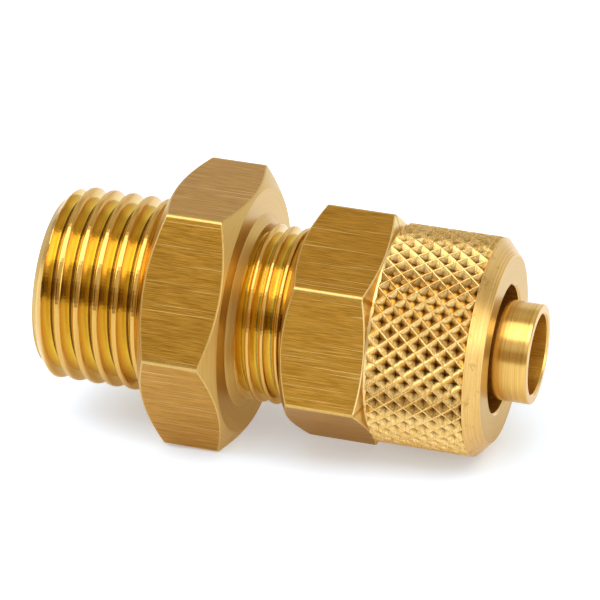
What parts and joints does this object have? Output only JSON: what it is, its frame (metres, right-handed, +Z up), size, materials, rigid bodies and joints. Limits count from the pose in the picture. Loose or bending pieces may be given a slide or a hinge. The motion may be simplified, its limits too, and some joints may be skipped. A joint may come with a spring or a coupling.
{
  "type": "hose connector",
  "caption": "Straight brass connector: a male pipe thread and hexagon on one side, a stem and a knurled clamping nut on the other, to join a push-on air hose to a tapped port.",
  "frame": {"origin": "on the axis of the connector, in the plane of the hexagon's port-side shoulder face", "axes": "+X along the flow bore from the port thread to the hose stem, +Z up, square to one flat of the body hexagon, which faces down"},
  "size_m": [0.0334, 0.0196, 0.017],
  "materials": {
    "body_brass": "drawn hexagon flats, turned and polished thread and stem",
    "nut_brass": "drawn hexagon flats, rolled diamond knurl, turned nose"
  },
  "bodies": {
    "connector_body": {"connector_body": "body_brass"},
    "clamping_nut": {"clamping_nut": "nut_brass"}
  },
  "joints": [
    {"name": "nut_travel", "type": "slide", "parent": "connector_body", "child": "clamping_nut", "axis": [1, 0, 0], "range_m": [-0.003, 0.003]}
  ]
}
